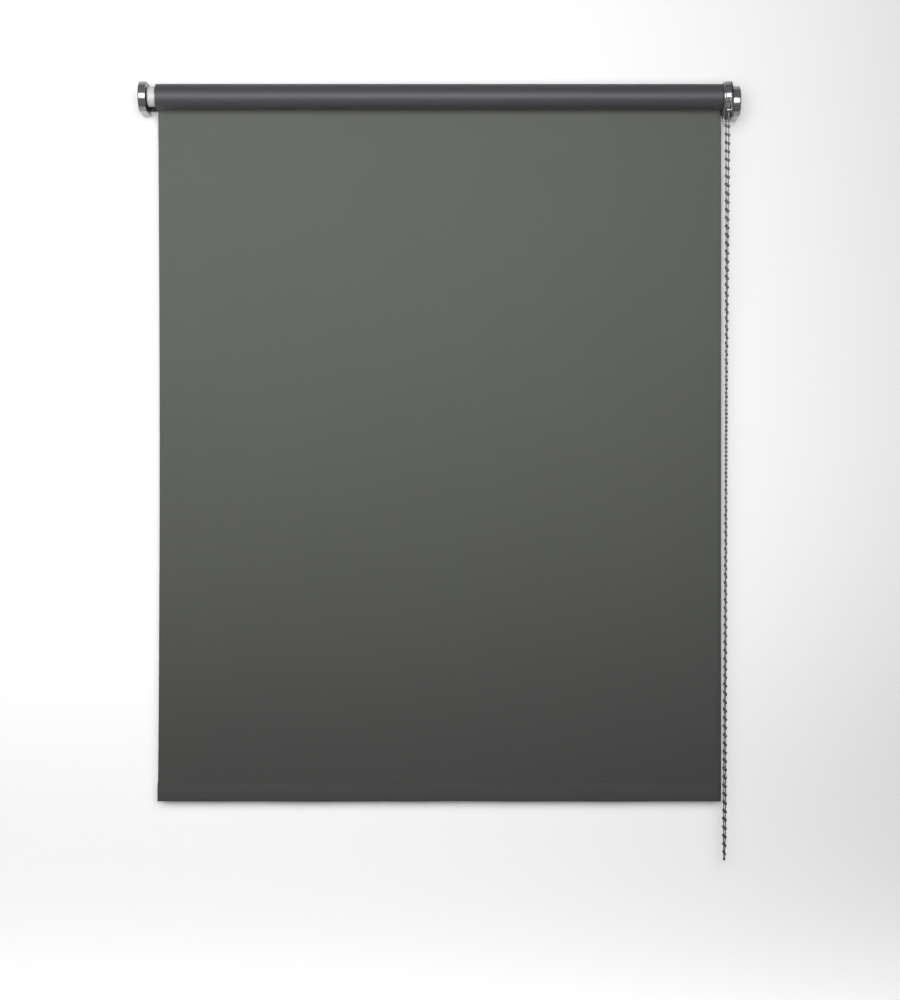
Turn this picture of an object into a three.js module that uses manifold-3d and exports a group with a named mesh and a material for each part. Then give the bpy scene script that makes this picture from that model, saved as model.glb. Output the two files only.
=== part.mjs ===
// A chain-driven roller blind on two wall brackets, half lowered. Millimetres.
// +X runs along the roller to the chain side, +Y points into the wall and +Z up.
// The origin is on the wall, midway between the brackets, level with the roller's axis.
import * as THREE from "three";
import { mergeVertices } from "three/addons/utils/BufferGeometryUtils.js";
import Module from "manifold-3d";

// Overall sizes
const BLIND_WIDTH = 600; // outside the two bracket covers
const HEM_DROP = 706.6; // roller's axis down to the hem's lower edge
const AXIS_OUT = 31; // wall to the roller's axis

// Gaps
const RUN = 0.4; // between pieces that turn past each other
const FIT = 0.3; // between fixed pieces that fit together
const SEAT = 0.1; // between a piece and the face that it rests on
const CUT = 1; // how far a cutter reaches past the face that it opens

// Brackets, their covers and screws
const COVER_WIDTH = 7.6;
const COVER_RADIUS = 15.2;
const COVER_WALL = 1.4;
const PLATE = 2; // bracket steel
const FLANGE_REACH = 26; // inwards from the side plate, flat on the wall
const FLANGE_HEIGHT = 19;
const CHAIN_SIDE_LOW = 4.7; // how far the chain-side bracket sits below the axis
const SCREW_RADIUS = 1.75;
const SCREW_HEAD_RADIUS = 3.4;
const SCREW_HEAD = 2.2;
const SCREW_LENGTH = 18;
const SCREW_SPACING = 12;
const SCREW_POINT = 4; // length of its tapered point
const SCREW_EDGE = 1.5; // from the outer screw's head to the end of the flange

// Tube, cloth and hem
const TUBE_RADIUS = 9;
const TUBE_WALL = 1;
const TAPE = 0.2;
const TAPE_ANGLE = 0.9; // radians of the tube that the tape covers
const TAPE_INSET = 2;
const ROLL_RADIUS = 12.2;
const SHEET_GAP = 0.2; // between the roll and the sheet that leaves it
const CLOTH = 0.36;
const CLOTH_INSET = 0.8; // the cloth starts this far inside the tube's idle end
const HEM_HEIGHT = 19;
const HEM_SLOT = 4.4; // inside thickness of the hem pocket
const HEM_OVERHANG = 0.4; // the hem is this much wider than the sheet at each end
const BAR_SHORTER = 3; // the bar stops this far inside each end of the pocket
const BAR_HEADROOM = 6; // between the bar and the top of the pocket

// Idle end: plug, pin and spring
const PLUG_WIDTH = 8;
const PLUG_LIP = 1; // the plug's flange stands this far outside the tube
const PLUG_GRIP = 24; // length inside the tube
const PLUG_CHAMFER = 1.2;
const PIN_TIP_RADIUS = 2.5;
const PIN_RADIUS = 4;
const PIN_LENGTH = 18;
const PIN_TIP = 4.2; // length that reaches into the bracket
const PIN_CHAMFER = 0.6;
const PIN_GAP = 0.2; // round the pin, in the plug
const SPRING_LENGTH = 11.6;
const SPRING_WIRE = 0.35; // radius
const SPRING_INSET = 0.8; // the wire's middle inside the pin's radius
const SPRING_TURNS = 6;

// Clutch
const CLUTCH_WIDTH = 9.1;
const FLANGE_PLATE = 2.2;
const FLANGE_INSET = 1; // the flange's edge inside the guard's
const FLANGE_LEAN = 0.44; // radians that the flange's legs lean in
const BACK_PLATE = 1.3;
const BACK_INSET = 0.3;
const GUARD_WALL = 1.6;
const GUARD_ROOM = 1.35; // between the beads and the guard's wall
const GUARD_LEG = 22; // the guard's open lower end, below the axis
const WINDOW_TOP = 3.5; // the window's upper edge, below the axis
const WINDOW_HEIGHT = 11.5;
const WINDOW_BAR = 2.6;
const WINDOW_SIDE = 0.7; // rail left on each side of the window
const CORE_RADIUS = 3.6;
const CORE_LENGTH = 31;
const SPIGOT_WIDTH = 4;
const SPIGOT_HEIGHT = 8;
const SPIGOT_OUT = 1.5; // how far it stands out behind the bracket's plate
const WRAP_WIRE = 0.42; // radius
const WRAP_TURNS = 6;
const WRAP_PITCH = 1.12;
const WRAP_GAP = 0.25; // between the wire and the core
const WRAP_SETBACK = 1; // from the wheel to the first spring
const SLEEVE_WALL = 1;
const SLEEVE_LENGTH = 19;
const HUB_GRIP = 27;
const HUB_END = 2.5; // the hub's inner end wall
const HUB_COLLAR = 0.9;

// Chain and its wheel
const CHAIN_RADIUS = 1.65; // beads
const CHAIN_PITCH_RADIUS = 10.7; // the middle of the beads, round the wheel
const RIM_OVER_BEADS = 0.9; // the wheel's rim above the middle of the beads
const CHAIN_SIDES = 8;
const CHAIN_STEPS = 78; // along the free loop
const CLUTCH_CHAIN_STEPS = 28;

// The free loop, from the front of the guard down, round the bottom and up to its back.
const CHAIN_ROUTE = [
  [288.0, -41.7, -19],
  [288.0, -41.65, -40],
  [287.6, -41.5, -90],
  [287.1, -41.3, -150],
  [286.5, -41.1, -220],
  [285.9, -40.9, -290],
  [285.4, -40.6, -360],
  [284.95, -40.3, -430],
  [284.55, -39.9, -500],
  [284.15, -39.4, -570],
  [283.75, -38.8, -630],
  [283.5, -38.0, -680],
  [283.4, -37.2, -715],
  [283.45, -36.5, -740],
  [283.7, -35.4, -752],
  [284.3, -33.2, -760.5],
  [284.9, -30.6, -763],
  [285.5, -28.0, -760.5],
  [286.2, -25.9, -752],
  [286.65, -24.9, -740],
  [286.9, -24.2, -715],
  [287.1, -23.5, -680],
  [287.25, -22.9, -630],
  [287.45, -22.4, -570],
  [287.65, -21.9, -500],
  [287.85, -21.5, -430],
  [288.0, -21.2, -360],
  [288.1, -20.9, -290],
  [288.15, -20.7, -220],
  [288.15, -20.55, -150],
  [288.1, -20.4, -90],
  [288.0, -20.32, -40],
  [288.0, -20.3, -19],
];

// Stations along X
const LEFT_FACE = -BLIND_WIDTH / 2 + COVER_WIDTH;
const RIGHT_FACE = BLIND_WIDTH / 2 - COVER_WIDTH;
const PLUG_LEFT = LEFT_FACE + RUN;
const TUBE_LEFT = PLUG_LEFT + PLUG_WIDTH + SEAT;
const CLOTH_LEFT = TUBE_LEFT + CLOTH_INSET;
const CLUTCH_RIGHT = RIGHT_FACE - FIT;
const CLUTCH_LEFT = CLUTCH_RIGHT - CLUTCH_WIDTH;
const CLOTH_RIGHT = CLUTCH_LEFT - RUN;
const TUBE_RIGHT = CLOTH_RIGHT - HUB_COLLAR - FIT;
const GUARD_LEFT = CLUTCH_LEFT + FLANGE_PLATE + SEAT;
const GUARD_RIGHT = CLUTCH_RIGHT - BACK_PLATE - SEAT;
const WHEEL_MIDDLE = (GUARD_LEFT + GUARD_RIGHT) / 2;
const WHEEL_HALF = (GUARD_RIGHT - GUARD_LEFT) / 2 - RUN / 2;

// Radii that follow from the ones above
const TUBE_BORE = TUBE_RADIUS - TUBE_WALL;
const PLUG_RADIUS = TUBE_RADIUS + PLUG_LIP;
const WRAP_MIDDLE = CORE_RADIUS + WRAP_GAP + WRAP_WIRE;
const SLEEVE_BORE = WRAP_MIDDLE + WRAP_WIRE + FIT;
const SLEEVE_RADIUS = SLEEVE_BORE + SLEEVE_WALL;
const HUB_BORE = SLEEVE_RADIUS + RUN;
const HUB_RADIUS = TUBE_BORE - FIT / 2;
const PIN_BORE = PIN_RADIUS + PIN_GAP;
const GUARD_BORE = CHAIN_PITCH_RADIUS + CHAIN_RADIUS + GUARD_ROOM;
const GUARD_RADIUS = GUARD_BORE + GUARD_WALL;
const WHEEL_RIM = CHAIN_PITCH_RADIUS + RIM_OVER_BEADS;
const SHEET_Y = -AXIS_OUT + ROLL_RADIUS + SHEET_GAP + CLOTH / 2; // the sheet's middle plane
const HEM_TOP = -HEM_DROP + HEM_HEIGHT;

const wasm = await Module();
wasm.setup();

const MATERIALS = {
  moulding: { color: 0x5f6264, roughness: 0.22, metalness: 0.7 },
  steel: { color: 0x8d9092, roughness: 0.4, metalness: 0.9 },
  painted_steel: { color: 0x34363a, roughness: 0.45, metalness: 0.4 },
  black_plastic: { color: 0x1c1d1e, roughness: 0.45, metalness: 0 },
  white_plastic: { color: 0xe9e9e6, roughness: 0.4, metalness: 0 },
  grey_plastic: { color: 0xa9acac, roughness: 0.4, metalness: 0 },
  aluminium: { color: 0xb8babc, roughness: 0.35, metalness: 0.9 },
  cloth: { color: 0x5c5f5b, roughness: 0.9, metalness: 0 },
  cloth_reverse: { color: 0x514f55, roughness: 0.6, metalness: 0 },
  tape: { color: 0xd9d3b8, roughness: 0.6, metalness: 0 },
  chain: { color: 0x6d6f70, roughness: 0.35, metalness: 0.1 },
};
for (const slot of Object.keys(MATERIALS)) {
  MATERIALS[slot] = new THREE.MeshStandardMaterial(MATERIALS[slot]);
}

// Axes of a section drawn in (Y, Z) and extruded along X, and of a lathe turned about X.
const SECTION_TO_X = new THREE.Matrix4().makeBasis(
  new THREE.Vector3(0, 1, 0),
  new THREE.Vector3(0, 0, 1),
  new THREE.Vector3(1, 0, 0),
);
const LATHE_TO_X = new THREE.Matrix4().makeBasis(
  new THREE.Vector3(0, 0, 1),
  new THREE.Vector3(1, 0, 0),
  new THREE.Vector3(0, 1, 0),
);
const LATHE_TO_Y = new THREE.Matrix4().makeBasis(
  new THREE.Vector3(1, 0, 0),
  new THREE.Vector3(0, -1, 0),
  new THREE.Vector3(0, 0, -1),
);

// A closed geometry as a solid, with its faces turned out.
function solidOf(geometry) {
  const plain = geometry.index ? geometry.toNonIndexed() : geometry.clone();
  plain.deleteAttribute("normal");
  plain.deleteAttribute("uv");
  const merged = mergeVertices(plain, 1e-4);
  const triVerts = new Uint32Array(merged.index.array);
  const vertProperties = new Float32Array(merged.attributes.position.array);
  const made = new wasm.Manifold(new wasm.Mesh({ numProp: 3, vertProperties, triVerts }));
  if (made.volume() > 0) {
    return made;
  }
  for (let i = 0; i < triVerts.length; i += 3) {
    [triVerts[i + 1], triVerts[i + 2]] = [triVerts[i + 2], triVerts[i + 1]];
  }
  return new wasm.Manifold(new wasm.Mesh({ numProp: 3, vertProperties, triVerts }));
}

function geometryOf(solid) {
  const mesh = solid.getMesh();
  const geometry = new THREE.BufferGeometry();
  geometry.setAttribute("position", new THREE.BufferAttribute(mesh.vertProperties, 3));
  geometry.setIndex(new THREE.BufferAttribute(mesh.triVerts, 1));
  geometry.computeVertexNormals();
  return geometry;
}

// An outline in (Y, Z), extruded along X between two stations, given in either order.
function alongX(shape, from, to, curveSegments = 16) {
  const geometry = new THREE.ExtrudeGeometry(shape, {
    depth: Math.abs(to - from),
    bevelEnabled: false,
    curveSegments,
  });
  geometry.applyMatrix4(SECTION_TO_X);
  geometry.translate(Math.min(from, to), 0, 0);
  return solidOf(geometry);
}

// A profile of [x, radius] points turned about the roller's axis.
function turned(profile, segments = 32) {
  const points = profile.map(([x, radius]) => new THREE.Vector2(radius, x));
  const geometry = new THREE.LatheGeometry(points, segments);
  geometry.applyMatrix4(LATHE_TO_X);
  geometry.translate(0, -AXIS_OUT, 0);
  return solidOf(geometry);
}

// A profile of [radius, -y] points turned about a line along Y through (x, z).
function latheAlongY(points, x, z, segments) {
  const profile = points.map(([radius, along]) => new THREE.Vector2(radius, along));
  const geometry = new THREE.LatheGeometry(profile, segments);
  geometry.applyMatrix4(LATHE_TO_Y);
  geometry.translate(x, 0, z);
  return solidOf(geometry);
}

function rod(x0, x1, radius, segments = 24) {
  return turned([[x0, 0], [x0, radius], [x1, radius], [x1, 0]], segments);
}

function ring(x0, x1, radius, bore, segments = 32) {
  return turned([[x0, bore], [x0, radius], [x1, radius], [x1, bore], [x0, bore]], segments);
}

function box(x0, x1, y0, y1, z0, z1) {
  const geometry = new THREE.BoxGeometry(Math.abs(x1 - x0), y1 - y0, z1 - z0);
  geometry.translate((x0 + x1) / 2, (y0 + y1) / 2, (z0 + z1) / 2);
  return solidOf(geometry);
}

// A round wire wound about the roller's axis.
class Winding extends THREE.Curve {
  constructor(x0, length, radius, turns) {
    super();
    Object.assign(this, { x0, length, radius, turns });
  }

  getPoint(t, target = new THREE.Vector3()) {
    const angle = 2 * Math.PI * this.turns * t;
    return target.set(
      this.x0 + this.length * t,
      -AXIS_OUT + this.radius * Math.cos(angle),
      this.radius * Math.sin(angle),
    );
  }
}

function tubeAlong(curve, radius, steps, sides) {
  const section = new THREE.Shape();
  for (let i = 0; i < sides; i += 1) {
    const angle = (2 * Math.PI * i) / sides;
    const point = [radius * Math.cos(angle), radius * Math.sin(angle)];
    if (i === 0) {
      section.moveTo(...point);
    } else {
      section.lineTo(...point);
    }
  }
  section.closePath();
  const options = { steps, extrudePath: curve, bevelEnabled: false, curveSegments: 1 };
  return solidOf(new THREE.ExtrudeGeometry(section, options));
}

// The side outline of a cover: half round in front, flat above and below, square at the wall.
function coverOutline(radius, middleZ, backY) {
  const outline = new THREE.Shape();
  outline.moveTo(backY, middleZ + radius);
  outline.lineTo(-AXIS_OUT, middleZ + radius);
  outline.absarc(-AXIS_OUT, middleZ, radius, Math.PI / 2, (3 * Math.PI) / 2, false);
  outline.lineTo(backY, middleZ - radius);
  outline.closePath();
  return outline;
}

// The side outline of the clutch: round over the top, straight legs below.
function guardOutline(radius, legZ) {
  const outline = new THREE.Shape();
  outline.moveTo(-AXIS_OUT + radius, legZ);
  outline.lineTo(-AXIS_OUT + radius, 0);
  outline.absarc(-AXIS_OUT, 0, radius, 0, Math.PI, false);
  outline.lineTo(-AXIS_OUT - radius, legZ);
  outline.closePath();
  return outline;
}

// Round over the top and a little way under, with legs that lean in to a flat lower edge.
function flangeOutline(radius, legZ, lean) {
  const outline = new THREE.Shape();
  const drop = -legZ - radius * Math.sin(lean);
  const foot = radius * Math.cos(lean) - drop * Math.tan(lean);
  outline.moveTo(-AXIS_OUT + foot, legZ);
  outline.absarc(-AXIS_OUT, 0, radius, -lean, Math.PI + lean, false);
  outline.lineTo(-AXIS_OUT - foot, legZ);
  outline.closePath();
  return outline;
}

// side is -1 at the idle end and 1 at the chain end; face is where the bracket meets the roller.
function bracketCover(side, face, middleZ) {
  const outer = face + side * COVER_WIDTH;
  const inner = outer - side * COVER_WALL;
  const shell = alongX(coverOutline(COVER_RADIUS, middleZ, 0), face, outer, 24);
  const bore = COVER_RADIUS - COVER_WALL;
  const hollow = alongX(coverOutline(bore, middleZ, CUT), face - side * CUT, inner, 24);
  return shell.subtract(hollow);
}

// The stations along X of a bracket's screws.
function screwPlaces(side, face) {
  const first = face - side * (FLANGE_REACH - SCREW_HEAD_RADIUS - SCREW_EDGE);
  return [first, first + side * SCREW_SPACING];
}

function bracket(side, face, middleZ) {
  const near = face + side * SEAT * 2;
  const far = near + side * PLATE;
  const radius = COVER_RADIUS - COVER_WALL - FIT;
  const reach = near - side * FLANGE_REACH;
  const half = FLANGE_HEIGHT / 2;
  let whole = alongX(coverOutline(radius, middleZ, 0), near, far, 20);
  whole = whole.add(box(far, reach, -PLATE, 0, middleZ - half, middleZ + half));
  for (const x of screwPlaces(side, face)) {
    const radiusOfHole = SCREW_RADIUS + FIT;
    const hole = [[0, -CUT], [radiusOfHole, -CUT], [radiusOfHole, PLATE + CUT], [0, PLATE + CUT]];
    whole = whole.subtract(latheAlongY(hole, x, middleZ, 20));
  }
  return whole;
}

// A cross-slotted screw through a bracket's flange, its shank in the wall.
function screw(x, z) {
  const underHead = PLATE + SEAT;
  const top = underHead + SCREW_HEAD;
  const whole = latheAlongY([
    [0, -SCREW_LENGTH],
    [SCREW_RADIUS, -SCREW_LENGTH + SCREW_POINT],
    [SCREW_RADIUS, underHead],
    [SCREW_HEAD_RADIUS, underHead],
    [SCREW_HEAD_RADIUS, underHead + SCREW_HEAD * 0.45],
    [SCREW_HEAD_RADIUS * 0.6, top],
    [0, top],
  ], x, z, 20);
  const long = SCREW_HEAD_RADIUS * 0.62;
  const thin = SCREW_HEAD_RADIUS * 0.13;
  const across = box(x - long, x + long, -top - CUT, -top + CUT, z - thin, z + thin);
  const down = box(x - thin, x + thin, -top - CUT, -top + CUT, z - long, z + long);
  return whole.subtract(across.add(down));
}

function leftBracket() {
  const hole = rod(LEFT_FACE - PLATE - CUT, LEFT_FACE + CUT, PIN_TIP_RADIUS + FIT);
  return bracket(-1, LEFT_FACE, 0).subtract(hole);
}

function rightBracket() {
  const plain = bracket(1, RIGHT_FACE, -CHAIN_SIDE_LOW);
  return plain.subtract(spigot(RIGHT_FACE - CUT, RIGHT_FACE + PLATE + CUT, FIT));
}

function spigot(x0, x1, clearance) {
  const halfY = SPIGOT_WIDTH / 2 + clearance;
  const halfZ = SPIGOT_HEIGHT / 2 + clearance;
  return box(x0, x1, -AXIS_OUT - halfY, -AXIS_OUT + halfY, -halfZ, halfZ);
}

function idleEndPlug() {
  const inside = PLUG_LEFT + PLUG_WIDTH;
  const end = inside + PLUG_GRIP;
  const pocket = PLUG_LEFT + PIN_LENGTH - PIN_TIP + SPRING_LENGTH + 4 * SEAT;
  const grip = TUBE_BORE - FIT / 2;
  return turned([
    [PLUG_LEFT, PIN_BORE],
    [PLUG_LEFT, PLUG_RADIUS - PLUG_CHAMFER],
    [PLUG_LEFT + PLUG_CHAMFER, PLUG_RADIUS],
    [inside, PLUG_RADIUS],
    [inside, grip],
    [end - PLUG_CHAMFER, grip],
    [end, grip - PLUG_CHAMFER],
    [end, 0],
    [pocket, 0],
    [pocket, PIN_BORE],
    [PLUG_LEFT, PIN_BORE],
  ]);
}

// The pin's tip sits in the bracket and its barrel slides in the plug.
function idlePin() {
  const tip = PLUG_LEFT - PIN_TIP;
  const end = tip + PIN_LENGTH;
  return turned([
    [tip, 0],
    [tip, PIN_TIP_RADIUS - PIN_CHAMFER],
    [tip + PIN_CHAMFER, PIN_TIP_RADIUS],
    [PLUG_LEFT, PIN_TIP_RADIUS],
    [PLUG_LEFT, PIN_RADIUS],
    [end, PIN_RADIUS],
    [end, 0],
  ], 24);
}

function idlePinSpring() {
  const start = PLUG_LEFT + PIN_LENGTH - PIN_TIP + SEAT + SPRING_WIRE;
  const length = SPRING_LENGTH - 2 * SPRING_WIRE;
  const curve = new Winding(start, length, PIN_RADIUS - SPRING_INSET, SPRING_TURNS);
  return tubeAlong(curve, SPRING_WIRE, SPRING_TURNS * 12, 6);
}

function clothTape() {
  const inner = TUBE_RADIUS + SEAT / 2;
  const outer = inner + TAPE;
  const from = Math.PI / 2;
  const outline = new THREE.Shape();
  outline.absarc(-AXIS_OUT, 0, outer, from, from + TAPE_ANGLE, false);
  outline.absarc(-AXIS_OUT, 0, inner, from + TAPE_ANGLE, from, true);
  outline.closePath();
  return alongX(outline, CLOTH_LEFT + TAPE_INSET, TUBE_RIGHT - TAPE_INSET, 8);
}

function clothRoll() {
  const inner = TUBE_RADIUS + TAPE + SEAT;
  return ring(CLOTH_LEFT, CLOTH_RIGHT, ROLL_RADIUS, inner, 40);
}

function hangingSheet() {
  const half = CLOTH / 2;
  return box(CLOTH_LEFT, CLOTH_RIGHT, SHEET_Y - half, SHEET_Y + half, HEM_TOP + FIT, 0);
}

// An upright outline with round ends in (Y, Z), from z0 up to z1.
function upright(halfThickness, z0, z1, Kind) {
  const outline = new Kind();
  outline.moveTo(SHEET_Y + halfThickness, z0 + halfThickness);
  outline.lineTo(SHEET_Y + halfThickness, z1 - halfThickness);
  outline.absarc(SHEET_Y, z1 - halfThickness, halfThickness, 0, Math.PI, false);
  outline.lineTo(SHEET_Y - halfThickness, z0 + halfThickness);
  outline.absarc(SHEET_Y, z0 + halfThickness, halfThickness, Math.PI, 2 * Math.PI, false);
  outline.closePath();
  return outline;
}

function hemPocket() {
  const outline = upright(HEM_SLOT / 2 + CLOTH, -HEM_DROP, HEM_TOP, THREE.Shape);
  outline.holes.push(upright(HEM_SLOT / 2, -HEM_DROP + CLOTH, HEM_TOP - CLOTH, THREE.Path));
  return alongX(outline, CLOTH_LEFT - HEM_OVERHANG, CLOTH_RIGHT + HEM_OVERHANG, 8);
}

function bottomBar() {
  const inset = CLOTH + FIT;
  const top = HEM_TOP - inset - BAR_HEADROOM;
  const outline = upright(HEM_SLOT / 2 - FIT, -HEM_DROP + inset, top, THREE.Shape);
  const shorter = BAR_SHORTER - HEM_OVERHANG;
  return alongX(outline, CLOTH_LEFT + shorter, CLOTH_RIGHT - shorter, 8);
}

function clutchFlange() {
  const right = CLUTCH_LEFT + FLANGE_PLATE;
  const radius = GUARD_RADIUS - FLANGE_INSET;
  const outline = flangeOutline(radius, -GUARD_LEG + FLANGE_INSET, FLANGE_LEAN);
  const plate = alongX(outline, CLUTCH_LEFT, right, 24);
  return plate.subtract(rod(CLUTCH_LEFT - CUT, right + CUT, SLEEVE_RADIUS + RUN, 32));
}

function chainGuard() {
  const shell = alongX(guardOutline(GUARD_RADIUS, -GUARD_LEG), GUARD_LEFT, GUARD_RIGHT, 24);
  const hollow = alongX(
    guardOutline(GUARD_BORE, -GUARD_LEG - CUT),
    GUARD_LEFT - CUT,
    GUARD_RIGHT + CUT,
    24,
  );
  const left = GUARD_LEFT + WINDOW_SIDE;
  const right = GUARD_RIGHT - WINDOW_SIDE;
  const back = -AXIS_OUT - GUARD_BORE + CUT;
  const front = -AXIS_OUT - GUARD_RADIUS - CUT;
  const barTop = -WINDOW_TOP - WINDOW_HEIGHT;
  const barBottom = barTop - WINDOW_BAR;
  const window = box(left, right, front, back, barTop, -WINDOW_TOP);
  const chute = box(left, right, front, back, -GUARD_LEG - CUT, barBottom);
  return shell.subtract(hollow).subtract(window).subtract(chute);
}

// The fixed shaft, with the plate that closes the guard and the spigot that plugs into the bracket.
function clutchCore() {
  const left = CLUTCH_RIGHT - BACK_PLATE;
  const outline = guardOutline(GUARD_RADIUS - BACK_INSET, -GUARD_LEG);
  const plate = alongX(outline, left, CLUTCH_RIGHT, 20);
  const shaft = rod(left - CORE_LENGTH, left + BACK_PLATE / 2, CORE_RADIUS);
  return plate.add(shaft).add(spigot(left, RIGHT_FACE + PLATE + SPIGOT_OUT, 0));
}

function chainWheel() {
  const left = WHEEL_MIDDLE - WHEEL_HALF;
  const right = WHEEL_MIDDLE + WHEEL_HALF;
  const groove = CHAIN_RADIUS + FIT;
  const bore = CORE_RADIUS + FIT;
  const profile = [
    [right, bore],
    [right, WHEEL_RIM],
    [WHEEL_MIDDLE + groove, WHEEL_RIM],
  ];
  const arcSteps = 6;
  for (let i = 0; i <= arcSteps; i += 1) {
    const angle = (Math.PI * i) / arcSteps;
    profile.push([
      WHEEL_MIDDLE + groove * Math.cos(angle),
      CHAIN_PITCH_RADIUS - groove * Math.sin(angle),
    ]);
  }
  profile.push(
    [WHEEL_MIDDLE - groove, WHEEL_RIM],
    [left, WHEEL_RIM],
    [left, SLEEVE_RADIUS],
    [left - SLEEVE_LENGTH, SLEEVE_RADIUS],
    [left - SLEEVE_LENGTH, SLEEVE_BORE],
    [left, SLEEVE_BORE],
    [left, bore],
    [right, bore],
  );
  return turned(profile);
}

function wrapSpring(index) {
  const length = WRAP_TURNS * WRAP_PITCH;
  const taken = length + 2 * WRAP_WIRE + FIT * 2;
  const end = WHEEL_MIDDLE - WHEEL_HALF - WRAP_SETBACK - index * taken;
  const curve = new Winding(end - length, length, WRAP_MIDDLE, WRAP_TURNS);
  return tubeAlong(curve, WRAP_WIRE, WRAP_TURNS * 14, 6);
}

function driveHub() {
  const left = TUBE_RIGHT - HUB_GRIP;
  const collar = TUBE_RIGHT + SEAT;
  const bearing = CORE_RADIUS + FIT;
  return turned([
    [left, bearing],
    [left, HUB_RADIUS],
    [collar, HUB_RADIUS],
    [collar, TUBE_RADIUS],
    [collar + HUB_COLLAR, TUBE_RADIUS],
    [collar + HUB_COLLAR, HUB_BORE],
    [left + HUB_END, HUB_BORE],
    [left + HUB_END, bearing],
    [left, bearing],
  ]);
}

// A smooth line whose steps go by its points, so they are short where the points are close.
class RouteLine extends THREE.CatmullRomCurve3 {
  getUtoTmapping(u) {
    return u;
  }
}

function freeChain() {
  const points = CHAIN_ROUTE.map((point) => new THREE.Vector3(...point));
  const line = new RouteLine(points, false, "centripetal");
  return tubeAlong(line, CHAIN_RADIUS, CHAIN_STEPS, CHAIN_SIDES);
}

// The chain inside the guard: up one side, over the wheel and down the other.
function chainInClutch() {
  const line = new THREE.CurvePath();
  const bottom = CHAIN_ROUTE[0][2] + FIT;
  const x = WHEEL_MIDDLE;
  const front = -AXIS_OUT - CHAIN_PITCH_RADIUS;
  const back = -AXIS_OUT + CHAIN_PITCH_RADIUS;
  const over = [];
  const arcSteps = 16;
  for (let i = 0; i <= arcSteps; i += 1) {
    const angle = Math.PI - (Math.PI * i) / arcSteps;
    over.push([
      x,
      -AXIS_OUT + CHAIN_PITCH_RADIUS * Math.cos(angle),
      CHAIN_PITCH_RADIUS * Math.sin(angle),
    ]);
  }
  const route = [[x, front, bottom], ...over, [x, back, bottom]];
  for (let i = 1; i < route.length; i += 1) {
    const from = new THREE.Vector3(...route[i - 1]);
    line.add(new THREE.LineCurve3(from, new THREE.Vector3(...route[i])));
  }
  return tubeAlong(line, CHAIN_RADIUS, CLUTCH_CHAIN_STEPS, CHAIN_SIDES);
}

const blind = new THREE.Group();

function place(name, solid, slot) {
  const mesh = new THREE.Mesh(geometryOf(solid), MATERIALS[slot]);
  mesh.name = name;
  blind.add(mesh);
}

place("left_bracket_cover", bracketCover(-1, LEFT_FACE, 0), "moulding");
place("left_bracket", leftBracket(), "painted_steel");
screwPlaces(-1, LEFT_FACE).forEach((x, i) => {
  place("left_bracket_screw_" + (i + 1), screw(x, 0), "steel");
});
place("idle_end_plug", idleEndPlug(), "white_plastic");
place("idle_pin", idlePin(), "steel");
place("idle_pin_spring", idlePinSpring(), "steel");

place("roller_tube", ring(TUBE_LEFT, TUBE_RIGHT, TUBE_RADIUS, TUBE_BORE), "aluminium");
place("cloth_tape", clothTape(), "tape");
place("cloth_roll", clothRoll(), "cloth_reverse");
place("hanging_sheet", hangingSheet(), "cloth");
place("hem_pocket", hemPocket(), "cloth");
place("bottom_bar", bottomBar(), "aluminium");

place("right_bracket_cover", bracketCover(1, RIGHT_FACE, -CHAIN_SIDE_LOW), "moulding");
place("right_bracket", rightBracket(), "painted_steel");
screwPlaces(1, RIGHT_FACE).forEach((x, i) => {
  place("right_bracket_screw_" + (i + 1), screw(x, -CHAIN_SIDE_LOW), "steel");
});
place("clutch_core", clutchCore(), "black_plastic");
place("clutch_flange", clutchFlange(), "moulding");
place("chain_guard", chainGuard(), "moulding");
place("chain_wheel", chainWheel(), "grey_plastic");
place("wrap_spring_1", wrapSpring(0), "steel");
place("wrap_spring_2", wrapSpring(1), "steel");
place("drive_hub", driveHub(), "black_plastic");
place("chain_in_clutch", chainInClutch(), "chain");
place("chain", freeChain(), "chain");

export default blind;
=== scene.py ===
"""A chain-driven roller blind on two wall brackets, half lowered. Metres.

+X runs along the roller to the chain side, +Y points into the wall and +Z up.
The origin is on the wall, midway between the brackets, level with the roller's axis.
"""
import math
import bmesh
import bpy
import numpy as np
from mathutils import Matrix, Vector


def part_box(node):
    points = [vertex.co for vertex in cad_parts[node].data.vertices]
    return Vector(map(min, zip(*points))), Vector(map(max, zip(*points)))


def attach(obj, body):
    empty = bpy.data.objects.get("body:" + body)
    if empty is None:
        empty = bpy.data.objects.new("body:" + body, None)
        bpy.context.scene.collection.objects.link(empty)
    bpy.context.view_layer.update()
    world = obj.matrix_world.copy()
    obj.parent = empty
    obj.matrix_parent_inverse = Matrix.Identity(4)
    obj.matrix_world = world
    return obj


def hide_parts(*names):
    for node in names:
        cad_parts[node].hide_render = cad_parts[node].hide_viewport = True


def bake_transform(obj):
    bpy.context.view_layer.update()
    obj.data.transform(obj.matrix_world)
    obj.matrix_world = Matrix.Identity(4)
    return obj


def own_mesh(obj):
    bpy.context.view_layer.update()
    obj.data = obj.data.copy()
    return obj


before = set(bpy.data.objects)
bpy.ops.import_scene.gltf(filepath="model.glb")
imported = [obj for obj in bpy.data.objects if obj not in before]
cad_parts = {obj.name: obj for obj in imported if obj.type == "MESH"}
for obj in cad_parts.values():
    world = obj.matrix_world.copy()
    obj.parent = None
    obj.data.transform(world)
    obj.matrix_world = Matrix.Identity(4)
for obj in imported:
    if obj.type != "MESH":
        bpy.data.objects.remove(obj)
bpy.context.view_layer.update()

# Places and sizes read from the frame
TUBE_LOW, TUBE_HIGH = (np.array(corner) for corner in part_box("roller_tube"))
ROLL_LOW, ROLL_HIGH = (np.array(corner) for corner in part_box("cloth_roll"))
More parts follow.
